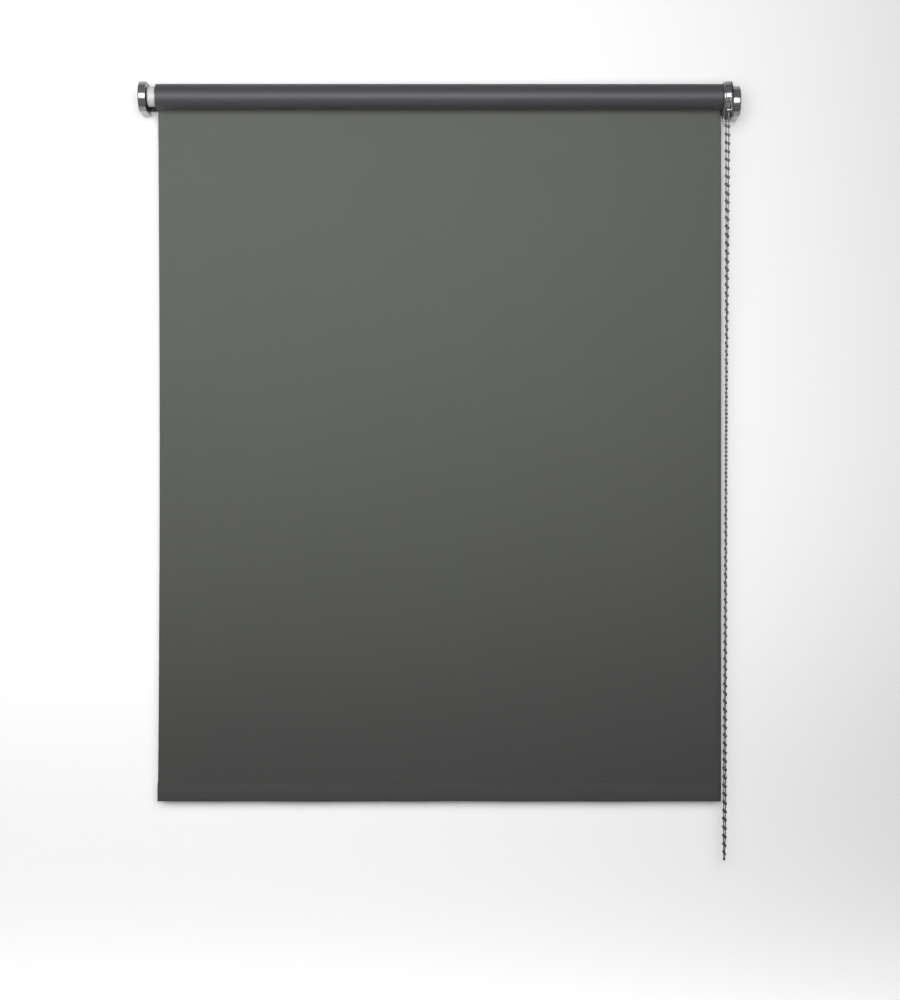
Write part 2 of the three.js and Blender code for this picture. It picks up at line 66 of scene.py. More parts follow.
SHEET_LOW, SHEET_HIGH = (np.array(corner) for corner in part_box("hanging_sheet"))
HEM_LOW, HEM_HIGH = (np.array(corner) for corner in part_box("hem_pocket"))
WHEEL_LOW, WHEEL_HIGH = (np.array(corner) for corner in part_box("chain_wheel"))
AXIS_Y = (TUBE_LOW[1] + TUBE_HIGH[1]) / 2
TUBE_RADIUS = (TUBE_HIGH[2] - TUBE_LOW[2]) / 2
SHEET_Y = (SHEET_LOW[1] + SHEET_HIGH[1]) / 2
CLOTH = SHEET_HIGH[1] - SHEET_LOW[1]
SKIN_RADIUS = SHEET_Y - AXIS_Y

# Chain
BEAD_RADIUS = 0.00165
BEAD_PITCH = 0.0084
BEAD_PHASE = 0.52  # of a pitch, from the start of the route to the first bead
BEAD_STRETCH = 1.12  # a bead's length over its width
CORD_RADIUS = 0.00062
CHAIN_TURN = 0.0107  # from the roller's axis to the middle of the beads on the wheel

# The free loop, from the front of the guard down, round the bottom and up to its back.
CHAIN_ROUTE = np.array([
    [288.0, -41.7, -19],
    [288.0, -41.65, -40],
    [287.6, -41.5, -90],
    [287.1, -41.3, -150],
    [286.5, -41.1, -220],
    [285.9, -40.9, -290],
    [285.4, -40.6, -360],
    [284.95, -40.3, -430],
    [284.55, -39.9, -500],
    [284.15, -39.4, -570],
    [283.75, -38.8, -630],
    [283.5, -38.0, -680],
    [283.4, -37.2, -715],
    [283.45, -36.5, -740],
    [283.7, -35.4, -752],
    [284.3, -33.2, -760.5],
    [284.9, -30.6, -763],
    [285.5, -28.0, -760.5],
    [286.2, -25.9, -752],
    [286.65, -24.9, -740],
    [286.9, -24.2, -715],
    [287.1, -23.5, -680],
    [287.25, -22.9, -630],
    [287.45, -22.4, -570],
    [287.65, -21.9, -500],
    [287.85, -21.5, -430],
    [288.0, -21.2, -360],
    [288.1, -20.9, -290],
    [288.15, -20.7, -220],
    [288.15, -20.55, -150],
    [288.1, -20.4, -90],
    [288.0, -20.32, -40],
    [288.0, -20.3, -19],
]) / 1000

# Camera
VIEW_FROM = (0.0106, -2.181, -0.4033)
LENS = 77.4  # millimetres

SHARP = math.radians(35)  # faces that meet at more than this keep a hard edge


# ---- meshes -------------------------------------------------------------------------------


def grid_faces(rows, columns, ring=False, loop=False):
    """Four-sided faces of a grid of points stored row after row.

    ring joins the last column to the first, and loop joins the last row to the first.
    """
    i = np.arange(rows if loop else rows - 1)[:, None]
    j = np.arange(columns if ring else columns - 1)[None, :]
    below = (i + 1) % rows
    beside = (j + 1) % columns
    corners = [i * columns + j, i * columns + beside, below * columns + beside, below * columns + j]
    return np.stack(corners, -1).reshape(-1, 4).tolist()


def linked(name, mesh):
    made = bpy.data.objects.new(name, mesh)
    bpy.context.scene.collection.objects.link(made)
    return made


def merged(mesh):
    """Joins the points that coincide and turns the faces of the closed shell outwards."""
    work = bmesh.new()
    work.from_mesh(mesh)
    bmesh.ops.remove_doubles(work, verts=work.verts, dist=1e-6)
    bmesh.ops.recalc_face_normals(work, faces=work.faces)
    work.to_mesh(mesh)
    work.free()


def smooth(mesh, angle=SHARP):
    mesh.shade_smooth()
    mesh.set_sharp_from_angle(angle=angle)


def shell(name, points, ring=False, loop=False, ends=None):
    """A closed solid from a grid of points. ends closes the first and last row, or column."""
    rows, columns = points.shape[:2]
    faces = grid_faces(rows, columns, ring, loop)
    if ends == "rows":
        faces += [list(range(columns)), list(range((rows - 1) * columns, rows * columns))]
    if ends == "columns":
        faces += [[i * columns + j for i in range(rows)] for j in (0, columns - 1)]
    mesh = bpy.data.meshes.new(name)
    mesh.from_pydata(points.reshape(-1, 3).tolist(), [], faces)
    merged(mesh)
    smooth(mesh)
    return linked(name, mesh)


def cloth(name, points, along, lift=0.0, thickness=CLOTH):
    """A layer of cloth round a grid of points.

    Its two faces lie half a thickness to each side of the grid, along the cross product of the
    grid's two directions, and a strip round the border joins them. lift moves the middle of the
    cloth along that normal. The UV map "cut" is in metres: X across the cloth, and along it.
    """
    rows, columns = points.shape[:2]
    count = rows * columns
    normal = np.cross(np.gradient(points, axis=0), np.gradient(points, axis=1))
    normal /= np.linalg.norm(normal, axis=-1, keepdims=True)
    face = points + normal * (lift + thickness / 2)
    reverse = points + normal * (lift - thickness / 2)
    cells = np.array(grid_faces(rows, columns))
    step = np.arange(count).reshape(rows, columns)
    border = np.concatenate([step[0, :-1], step[:-1, -1], step[-1, :0:-1], step[:0:-1, 0]])
    after = np.roll(border, -1)
    rim = np.stack([after + count, border + count, border, after], -1)
    mesh = bpy.data.meshes.new(name)
    corners = np.concatenate([face.reshape(-1, 3), reverse.reshape(-1, 3)])
    faces = np.concatenate([cells[:, ::-1], cells + count, rim])
    mesh.from_pydata(corners.tolist(), [], faces.tolist())
    sides = np.repeat([0, 1], [len(cells), len(cells) + len(rim)]).astype(np.int32)
    mesh.polygons.foreach_set("material_index", sides)
    flat = np.stack([points[..., 0], np.broadcast_to(along, (rows, columns))], -1).reshape(-1, 2)
    corner = np.empty(len(mesh.loops), dtype=np.int32)
    mesh.loops.foreach_get("vertex_index", corner)
    cut = flat[corner % count].astype(np.float32).ravel()
    mesh.uv_layers.new(name="cut").data.foreach_set("uv", cut)
    smooth(mesh)
    return linked(name, mesh)


def rounded(corners, radii, steps=4):
    """A line through corners, each one replaced by a parabola that leaves and meets its two sides
    at that corner's radius."""
    corners = np.asarray(corners, dtype=float)
    radii = np.broadcast_to(radii, len(corners))[:, None]
    before = np.roll(corners, 1, axis=0) - corners
    after = np.roll(corners, -1, axis=0) - corners
    start = corners + before / np.linalg.norm(before, axis=1, keepdims=True) * radii
    end = corners + after / np.linalg.norm(after, axis=1, keepdims=True) * radii
    t = np.linspace(0, 1, steps + 1)[None, :, None]
    curves = (1 - t) ** 2 * start[:, None] + 2 * t * (1 - t) * corners[:, None] + t * t * end[:, None]
    return curves.reshape(-1, corners.shape[1])


def turned(profile, sides=64):
    """Each [x, radius] point of a profile carried round the roller's axis."""
    profile = np.asarray(profile, dtype=float)
    angle = np.linspace(0, 2 * np.pi, sides, endpoint=False)
    x = np.repeat(profile[:, :1], sides, axis=1)
    radius = profile[:, 1:2]
    return np.stack([x, AXIS_Y + radius * np.cos(angle), radius * np.sin(angle)], -1)


def swept(path, guide, radius, sides=10):
    """A round section carried along a path; guide is a direction that the path never takes."""
    along = np.gradient(path, axis=0)
    along /= np.linalg.norm(along, axis=1, keepdims=True)
    guide = np.broadcast_to(guide, path.shape)
    first = guide - (guide * along).sum(1, keepdims=True) * along
    first /= np.linalg.norm(first, axis=1, keepdims=True)
    second = np.cross(along, first)
    angle = np.linspace(0, 2 * np.pi, sides, endpoint=False)[None, :, None]
    return path[:, None] + radius * (first[:, None] * np.cos(angle) + second[:, None] * np.sin(angle))


def curve_through(points, per_span):
    """A smooth line through the points: a cubic in each span, whose slope at a point is that of
    the line between its two neighbours."""
    reach = np.linalg.norm(np.diff(points, axis=0), axis=1)
    place = np.concatenate([[0], np.cumsum(reach)])
    slope = np.gradient(points, place, axis=0)
    t = np.linspace(0, 1, per_span, endpoint=False)[None, :, None]
    a, b = points[:-1, None], points[1:, None]
    length = reach[:, None, None]
    from_a = (2 * t**3 - 3 * t**2 + 1) * a + (t**3 - 2 * t**2 + t) * length * slope[:-1, None]
    from_b = (3 * t**2 - 2 * t**3) * b + (t**3 - t**2) * length * slope[1:, None]
    return np.concatenate([(from_a + from_b).reshape(-1, 3), points[-1:]])


def distances(path):
    """How far along the path each of its points lies."""
    return np.concatenate([[0], np.cumsum(np.linalg.norm(np.diff(path, axis=0), axis=1))])


def at_distance(path, place):
    """The points of a path at the given distances from its start."""
    reach = distances(path)
    return np.stack([np.interp(place, reach, path[:, axis]) for axis in range(3)], -1)


def fade(value, start, end):
    """0 before start and 1 after end, with a smooth rise between them."""
    t = np.clip((value - start) / (end - start), 0, 1)
    return t * t * (3 - 2 * t)


def finished(made, look, body=None, stands_for=()):
    """Gives a piece its material, the body that it rides on and the nodes it stands for."""
    made.data.materials.append(look)
    if body:
        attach(made, body)
    if stands_for:
        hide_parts(*stands_for)
    return made


def softened(name, node, look, body, width=0.00025):
    """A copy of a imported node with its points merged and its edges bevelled."""
    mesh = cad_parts[node].data.copy()
    mesh.name = name
    mesh.materials.clear()
    merged(mesh)
    smooth(mesh)
    made = linked(name, mesh)
    edge = made.modifiers.new("edge", "BEVEL")
    edge.width = width
    edge.segments = 2
    edge.limit_method = "ANGLE"
    edge.angle_limit = SHARP
    edge.use_clamp_overlap = True
    return finished(made, look, body, [node])


# ---- materials ----------------------------------------------------------------------------


class Finish:
    """A material in the making: a Principled shader and the nodes that feed it."""

    def __init__(self, name, **sockets):
        self.material = bpy.data.materials.new(name)
        self.material.use_nodes = True
        self.tree = self.material.node_tree
        self.shader = self.tree.nodes["Principled BSDF"]
        for socket, value in sockets.items():
            self.shader.inputs[socket.replace("_", " ")].default_value = value

    def node(self, kind, inputs=None, **settings):
        made = self.tree.nodes.new("ShaderNode" + kind)
        for setting, value in settings.items():
            setattr(made, setting, value)
        for socket, value in (inputs or {}).items():
            if isinstance(value, bpy.types.NodeSocket):
                self.tree.links.new(value, made.inputs[socket])
            else:
                made.inputs[socket].default_value = value
        return made

    def place(self, scale=(1, 1, 1), of="Object"):
        """Coordinates of the piece, or of its UV map, scaled."""
        source = self.node("TexCoord").outputs[of]
        return self.node("Mapping", {"Vector": source, "Scale": scale}).outputs["Vector"]

    def noise(self, where, scale, detail=3.0, roughness=0.5):
        inputs = {"Vector": where, "Scale": scale, "Detail": detail, "Roughness": roughness}
        return self.node("TexNoise", inputs).outputs["Fac"]

    def math(self, operation, a, b=0.0):
        return self.node("Math", {0: a, 1: b}, operation=operation).outputs[0]

    def spread(self, value, low, high, source=(0.3, 0.7)):
        """A value in the source range moved to between low and high."""
        limits = {"From Min": source[0], "From Max": source[1], "To Min": low, "To Max": high}
        return self.node("MapRange", {"Value": value, **limits}).outputs["Result"]

    def mixed(self, factor, a, b):
        """Colour a where factor is 0 and colour b where it is 1."""
        return self.node("Mix", {0: factor, 6: a, 7: b}, data_type="RGBA").outputs[2]

    def feed(self, socket, value):
        self.tree.links.new(value, self.shader.inputs[socket])

    def bump(self, height, distance, strength=1.0):
        inputs = {"Height": height, "Distance": distance, "Strength": strength}
        self.feed("Normal", self.node("Bump", inputs).outputs["Normal"])


def grey(level, tint=(1, 1, 1)):
    return (level * tint[0], level * tint[1], level * tint[2], 1)


def woven(name, dark, light, roughness, sheen, thread, depth):
    """Plain-woven coated cloth: crossing threads, thicker threads here and there both ways, and a
    slow change of shade over the piece."""
    look = Finish(name, Sheen_Weight=sheen, Sheen_Roughness=0.4)
    cut = look.place(of="UV")
    apart = look.node("SeparateXYZ", {"Vector": cut})
    turns = 2 * math.pi / thread
    across = look.math("SINE", look.math("MULTIPLY", apart.outputs["X"], turns))
    down = look.math("SINE", look.math("MULTIPLY", apart.outputs["Y"], turns))
    weave = look.math("MULTIPLY", across, down)
    warp = look.noise(look.place((900, 14, 1), "UV"), 1.0, 2.0)
    weft = look.noise(look.place((10, 700, 1), "UV"), 1.0, 2.0)
    slow = look.noise(cut, 7.0, 2.0)
    threads = look.math("ADD", look.math("MULTIPLY", warp, 0.5), look.math("MULTIPLY", weft, 0.5))
    shade = look.math("ADD", look.math("MULTIPLY", threads, 0.75), look.math("MULTIPLY", slow, 0.25))
    shade = look.math("ADD", shade, look.math("MULTIPLY", weave, 0.03))
    look.feed("Base Color", look.mixed(look.spread(shade, 0.0, 1.0, (0.38, 0.62)), dark, light))
    look.feed("Roughness", look.spread(threads, roughness - 0.05, roughness + 0.05))
    height = look.math("ADD", look.math("MULTIPLY", weave, 0.35), look.math("MULTIPLY", threads, 1.2))
    look.bump(height, depth)
    return look.material


def moulded(name, colour, roughness, grain=1500.0, depth=4e-6, **sockets):
    """Moulded plastic: a fine grain in the surface, flow marks in the colour and handled patches
    in the gloss."""
    look = Finish(name, **sockets)
    where = look.place()
    flow = look.noise(look.place((1, 1, 2.5)), 60.0, 3.0)
    handled = look.noise(where, 140.0, 4.0, 0.6)
    fine = look.noise(where, grain, 2.0)
    darker = tuple(c * 0.9 for c in colour[:3]) + (1,)
    look.feed("Base Color", look.mixed(look.spread(flow, 0, 1), darker, colour))
    look.feed("Roughness", look.spread(handled, roughness * 0.8, roughness * 1.25))
    look.bump(fine, depth)
    return look.material


def plated():
    """Zinc-plated steel: a soft spangle, rolling marks along the strip and dull patches."""
    look = Finish("plated_steel", Metallic=1.0)
    spangle = look.node("TexVoronoi", {"Vector": look.place(), "Scale": 420.0}).outputs["Color"]
    patches = look.noise(look.place(), 90.0, 4.0, 0.6)
    rolled = look.noise(look.place((40, 2500, 2500)), 1.0, 2.0)
    tone = look.math("ADD", look.math("MULTIPLY", spangle, 0.25), look.math("MULTIPLY", patches, 0.75))
    dark, light = grey(0.34), grey(0.55, (0.98, 1, 1.02))
    look.feed("Base Color", look.mixed(look.spread(tone, 0, 1), dark, light))
    look.feed("Roughness", look.spread(patches, 0.28, 0.46))
    look.bump(rolled, 6e-6)
    return look.material


def drawn(name, dark, light, roughness):
    """Bare drawn metal with fine lines along its length."""
    look = Finish(name, Metallic=1.0)
    lines = look.noise(look.place((12, 3800, 3800)), 1.0, 3.0)
    dull = look.noise(look.place(), 50.0, 3.0)
    look.feed("Base Color", look.mixed(look.spread(lines, 0, 1), dark, light))
    look.feed("Roughness", look.spread(dull, roughness - 0.06, roughness + 0.1))
    look.bump(lines, 5e-6)
    return look.material


def adhesive():
    """Cream double-sided tape with small creases."""
    look = Finish("adhesive_tape", Coat_Weight=0.2)
    creases = look.noise(look.place((60, 400, 400)), 1.0, 4.0)
    dark, light = grey(0.5, (1, 0.94, 0.7)), grey(0.66, (1, 0.95, 0.76))
    look.feed("Base Color", look.mixed(look.spread(creases, 0, 1), dark, light))
    look.feed("Roughness", look.spread(creases, 0.4, 0.6))
    look.bump(creases, 2e-5)
    return look.material


def twisted():
    """Polyester cord: strands that slant round it."""
    strand = 0.0011
    look = Finish("twisted_cord", Sheen_Weight=0.3)
    apart = look.node("SeparateXYZ", {"Vector": look.place()})
    slant = look.math("ADD", apart.outputs["Z"], look.math("MULTIPLY", apart.outputs["X"], 0.8))
    strands = look.math("SINE", look.math("MULTIPLY", slant, 2 * math.pi / strand))
    fibres = look.noise(look.place((1, 1, 0.3)), 2500.0, 2.0)
    tone = look.math("ADD", look.math("MULTIPLY", strands, 0.2), fibres)
    look.feed("Base Color", look.mixed(look.spread(tone, 0, 1), grey(0.3), grey(0.42)))
    look.feed("Roughness", look.spread(fibres, 0.55, 0.75))
    look.bump(tone, 4e-5)
    return look.material


THREAD = 0.0008  # two threads of the weave, side by side
FACE_TINT = (0.95, 1.0, 0.94)
REVERSE_TINT = (1.02, 0.97, 1.12)
FACE = grey(0.130, FACE_TINT), grey(0.139, FACE_TINT)
REVERSE = grey(0.07, REVERSE_TINT), grey(0.076, REVERSE_TINT)
GLOSS = grey(0.3, (0.97, 1.0, 1.03))
WHITE = grey(0.8, (1.0, 1.0, 0.985))

LOOKS = {
    "moulding": moulded("dark_gloss_moulding", GLOSS, 0.13, 900.0, 3e-6, Metallic=0.6),
    "steel": plated(),
    "painted_steel": moulded("painted_steel", grey(0.035, (0.95, 1.0, 1.1)), 0.4, 1100.0, 3e-6),
    "black_plastic": moulded("black_moulding", grey(0.018), 0.42),
    "white_plastic": moulded("white_moulding", WHITE, 0.36, Subsurface_Weight=0.05),
    # The wheel's light grey plastic, made paler still as painted light for the shade inside the guard.
    "grey_plastic": moulded("grey_moulding_with_painted_light", grey(0.88, (0.99, 1.0, 1.0)), 0.36),
    "aluminium": drawn("drawn_aluminium", grey(0.5), grey(0.66), 0.34),
    "cloth": woven("coated_cloth", *FACE, 0.8, 0.06, THREAD, 3e-5),
    "cloth_reverse": woven("cloth_reverse", *REVERSE, 0.5, 0.05, THREAD, 1.2e-5),
    "tape": adhesive(),
    "chain": moulded("bead_plastic", grey(0.16, (0.98, 1.0, 1.0)), 0.3),
    "cord": twisted(),
}


# ---- camera and chain ---------------------------------------------------------------------


def make_camera():
    lens = bpy.data.cameras.new("camera")
    lens.lens = LENS
    camera = bpy.data.objects.new("camera", lens)
    camera.location = VIEW_FROM
    camera.rotation_euler = (math.pi / 2, 0, 0)
    bpy.context.scene.collection.objects.link(camera)
    bpy.context.scene.camera = camera


def beads_on(line, places):
    """Beads on a line: one globe, a little longer than it is wide, turned to lie along the line at
    each place and repeated by adding every place to every point of the globe."""
    bands, sides = 6, 9
    latitude = np.linspace(0, np.pi, bands + 1)[:, None]
    longitude = np.linspace(0, 2 * np.pi, sides, endpoint=False)[None, :]
    across = np.sin(latitude) * np.cos(longitude)
    upward = np.sin(latitude) * np.sin(longitude)
    along = np.cos(latitude) * BEAD_STRETCH + 0 * longitude
    middle = at_distance(line, places)
    tangent = at_distance(line, places + BEAD_RADIUS / 2) - at_distance(line, places - BEAD_RADIUS / 2)
    tangent /= np.linalg.norm(tangent, axis=1, keepdims=True)
    first = np.cross(tangent, np.cross([1.0, 0, 0], tangent))
    first /= np.linalg.norm(first, axis=1, keepdims=True)
    second = np.cross(tangent, first)
    globe = np.stack([across, upward, along], -1).reshape(-1, 3) * BEAD_RADIUS
    axes = np.stack([first, second, tangent], 1)
    points = (globe @ axes + middle[:, None]).reshape(-1, 3)
    one = np.array(grid_faces(bands + 1, sides, ring=True))
    faces = one[None] + (np.arange(len(places)) * len(globe))[:, None, None]
    return points, faces.reshape(-1, 4).tolist()


def cord_piece(name, path, stands_for=()):
    made = shell(name, swept(path, [1.0, 0, 0], CORD_RADIUS, 8), ring=True, ends="rows")
    return finished(made, LOOKS["cord"], "brackets", stands_for)


def bead_piece(name, line, places):
    points, faces = beads_on(line, places)
    mesh = bpy.data.meshes.new(name)
    mesh.from_pydata(points.tolist(), [], faces)
    merged(mesh)
    mesh.shade_smooth()
    return finished(linked(name, mesh), LOOKS["chain"], "brackets")


def over_the_wheel():
    """The chain's line in the clutch, from the back of the free loop over the wheel to its front."""
    x, back, bottom = CHAIN_ROUTE[-1]
    front = CHAIN_ROUTE[0][1]
    angle = np.linspace(0, np.pi, 60)
    arc = np.stack([
        np.full_like(angle, x),
        AXIS_Y + CHAIN_TURN * np.cos(angle),
        CHAIN_TURN * np.sin(angle),
    ], -1)
    return np.concatenate([[[x, back, bottom]], arc, [[x, front, bottom]]])


def make_chain():
    """The endless bead chain: the free loop, and the stretch that the clutch hides."""
    free = curve_through(CHAIN_ROUTE, 16)
    hidden = over_the_wheel()
    free_length = distances(free)[-1]
    whole = np.concatenate([free, hidden[1:]])
    total = distances(whole)[-1]
    count = round(total / BEAD_PITCH)
    places = (np.arange(count) + BEAD_PHASE) * total / count
    loose = places < free_length
    top_path = at_distance(hidden, np.linspace(0, distances(hidden)[-1], 60))
    cord_piece("clutch_cord", top_path, ["chain_in_clutch"])
    bead_piece("clutch_beads", whole, places[~loose])
    beads = bead_piece("chain_beads", whole, places[loose])
    cord_piece("chain_cord", free, ["chain"])


# ---- cloth --------------------------------------------------------------------------------

HEM_JOIN = 0.006  # how far the sheet reaches into the hem
TOP_DROP = 0.06  # the drop that the piece from the roll makes
TOP_OVERLAP = 0.12  # radians that the outermost turn runs on under its own end
TAPE_ROOM = 0.0003  # between the tube and the innermost turn
LAYER_SHARE = 0.93  # of the cloth's thickness, so that the wound turns stay apart
ROLL_WANDER = 0.0002  # the most that the roll's edges wander to either side
TURN_STEPS = 72  # rows of points in each turn of the roll

# Stations in from each edge of the cloth
EDGE = np.array([0, 0.0008, 0.002, 0.004, 0.007, 0.011, 0.016, 0.023, 0.032, 0.044, 0.058])

# How far the free edges draw in, how far they turn back, and how wide the cloth is that does so.
# The right edge draws in below the guard only.
LEFT_DRAW, RIGHT_DRAW = 0.0013, 0.0008
LEFT_CURL, RIGHT_CURL = 0.0016, 0.0009
LEFT_BAND, RIGHT_BAND = 0.07, 0.05
BELOW_GUARD = 0.0185, 0.035


def two_sided(made, body=None, stands_for=()):
    """Cloth with its face on the side of the grid's normal and its reverse on the other."""
    finished(made, LOOKS["cloth"], body, stands_for)
    made.data.materials.append(LOOKS["cloth_reverse"])
    return made


def across_cloth():
    """Stations across the cloth, close together near both edges."""
    left, right = SHEET_LOW[0], SHEET_HIGH[0]
    inner = np.linspace(left + EDGE[-1], right - EDGE[-1], 48)[1:-1]
    return np.concatenate([left + EDGE, inner, (right - EDGE)[::-1]])


def hung(x, z):
    """Where a point of the flat sheet hangs: the edges draw in and turn back a little between the
    roll and the hem, most on the left, and shallow waves run down it."""
    left, right = SHEET_LOW[0], SHEET_HIGH[0]
    drop = np.clip(-z / -HEM_HIGH[2], 0, 1)
    free = np.sin(np.pi * drop) ** 0.8
    near_left = 1 - fade(x, left, left + LEFT_BAND)
    near_right = 1 - fade(-x, -right, -right + RIGHT_BAND)
    clear = fade(-z, *BELOW_GUARD)
    inward = LEFT_DRAW * free * near_left + RIGHT_DRAW * clear * near_right
    curl = LEFT_CURL * free * near_left**6 + RIGHT_CURL * free * near_right**6
    broad = 0.00035 * np.sin(2 * np.pi * (x / 0.31 + 0.2))
    narrow = 0.0002 * np.sin(2 * np.pi * (x / 0.13 + z / 0.9))
    return np.stack([x + inward, SHEET_Y + curl + (broad + narrow) * free, z], -1)


def make_sheet_top():
    """The outermost turn of the roll and the first of the drop, in one piece.

    The turn is a spiral one cloth thickness deep, which starts under the sheet and comes round to
    meet it at the back of the roll.
    """
    x = across_cloth()
    angle = np.linspace(2 * np.pi + TOP_OVERLAP, 0, 110)
    radius = SKIN_RADIUS - CLOTH * angle / (2 * np.pi)
    turn = np.stack([
        np.broadcast_to(x, (len(angle), len(x))),
        np.broadcast_to((AXIS_Y + radius * np.cos(angle))[:, None], (len(angle), len(x))),
        np.broadcast_to((radius * np.sin(angle))[:, None], (len(angle), len(x))),
    ], -1)
    z = -np.linspace(0, TOP_DROP, 25)[1:]
    fall = hung(*np.meshgrid(x, z))
    points = np.concatenate([turn, fall])
    middle = points[:, len(x) // 2]
    made = cloth("sheet_top", points, distances(middle)[:, None])
    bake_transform(made)
    return two_sided(made)


def make_hanging_sheet():
    """The rest of the drop, down into the hem."""
    x = across_cloth()
    z = -np.linspace(TOP_DROP, -HEM_HIGH[2] + HEM_JOIN, 150)
    points = hung(*np.meshgrid(x, z))
    made = cloth("sheet", points, -z[:, None])
    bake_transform(made)
    return two_sided(made, stands_for=["hanging_sheet"])


def make_roll():
    """The wound cloth: a spiral from the tape out to the outermost turn, whose edges wander."""
    start = TUBE_RADIUS + TAPE_ROOM + CLOTH / 2
    end = SKIN_RADIUS - 2 * CLOTH - 0.00001
    turns = (end - start) / CLOTH
    angle = np.linspace(0, 2 * np.pi * turns, int(TURN_STEPS * turns))
    radius = start + CLOTH * angle / (2 * np.pi)
    wander = 0.00012 * np.sin(angle * 0.37) + 0.00008 * np.sin(angle * 1.3 + 1)
    share = np.concatenate([[0, 0.003], np.linspace(0.03, 0.97, 9), [0.997, 1]])
    left = ROLL_LOW[0] + ROLL_WANDER + wander
    right = ROLL_HIGH[0] - ROLL_WANDER + wander
    x = left[:, None] * (1 - share) + right[:, None] * share
    y = np.broadcast_to((AXIS_Y + radius * np.cos(-angle))[:, None], x.shape)
    z = np.broadcast_to((radius * np.sin(-angle))[:, None], x.shape)
    points = np.stack([x, y, z], -1)
    along = (angle * radius)[:, None]
    made = cloth("wound_cloth", points, along, thickness=CLOTH * LAYER_SHARE)
    return two_sided(made, "roller", ["cloth_roll"])


def make_hem():
    """The hem: cloth welded to itself along a narrow ridge and bulging over the bar below it.

    Its outline is a smooth line through a list of points, each how far out from the middle and
    how far below the top edge, down the front and up the back.
    """
    half = [
        [0.00045, 0.0],
        [0.00098, -0.0008],
        [0.00112, -0.0016],
        [0.0016, -0.0038],
        [0.0021, -0.0066],
        [0.00232, -0.0098],
        [0.00230, -0.0145],
        [0.00205, -0.0170],
        [0.00125, -0.0185],
        [0.0, -0.0190],
    ]
    half = np.array(half)
    front = np.concatenate([-half[:, :1], half[:, 1:]], 1)
    outline = np.concatenate([front, half[-2::-1]])
    flat = np.concatenate([outline, np.zeros((len(outline), 1))], 1)
    outline = curve_through(flat, 5)[:, :2]
    x = np.linspace(HEM_LOW[0], HEM_HIGH[0], 140)[None, :]
    depth = outline[:, 1:]
    swell = 1 + 0.05 * np.sin(x * 31) + 0.03 * np.sin(x * 83 + 2)
    y = SHEET_Y + outline[:, :1] * np.where(depth < -0.001, swell, 1)
    sag = 0.00012 * np.sin(x * 23 + 1) + 0.0001 * np.sin(x * 61)
    z = HEM_HIGH[2] - 0.00005 + depth * 0.996 + sag * fade(-depth, 0.012, 0.0185)
    points = np.stack([np.broadcast_to(x, y.shape), y, z], -1)
    made = cloth("hem", points, distances(points[:, 0])[:, None], lift=-CLOTH / 2)
    return two_sided(made, "hem", ["hem_pocket"])


# ---- brackets and their covers ------------------------------------------------------------

COVER_WALL = 0.0014


def open_outline(radius, inset, middle, flats=9, arc=49):
    """A half round in front with flats running back to the wall, drawn in by inset.

    radius is the outline's own, and inset may be an array: its rows are then successive outlines.
    """
    inset = np.asarray(inset, dtype=float)[:, None]
    reach = radius - inset
    back = np.linspace(0, 1, flats)[:-1]
    angle = np.linspace(0, np.pi, arc)
    y = np.concatenate([AXIS_Y * back, 0 * angle + AXIS_Y, AXIS_Y * back[::-1]])
    bulge = np.concatenate([0 * back, np.sin(angle), 0 * back])
    height = np.concatenate([1 + 0 * back, np.cos(angle), -1 + 0 * back])
    return y - reach * bulge, middle + reach * height


def make_cover(name, node, side):
    """A moulded cover: its wall and outer face in one profile, carried round the open outline."""
    low, high = (np.array(corner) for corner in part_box(node))
    radius = (high[2] - low[2]) / 2
    outer, lip = (high[0], low[0]) if side > 0 else (low[0], high[0])
    inner = outer - side * COVER_WALL
    corners = [
        [inner, radius],
        [inner, COVER_WALL],
        [lip, COVER_WALL],
        [lip, 0],
        [outer, 0],
        [outer, radius],
    ]
    profile = rounded(corners, np.array([0, 0.5, 0.35, 0.35, 1.1, 0]) / 1000, 5)
    y, z = open_outline(radius, profile[:, 1], (high[2] + low[2]) / 2)
    x = np.broadcast_to(profile[:, :1], y.shape)
    made = shell(name, np.stack([x, y, z], -1), ends="columns")
    return finished(made, LOOKS["moulding"], "brackets", [node])


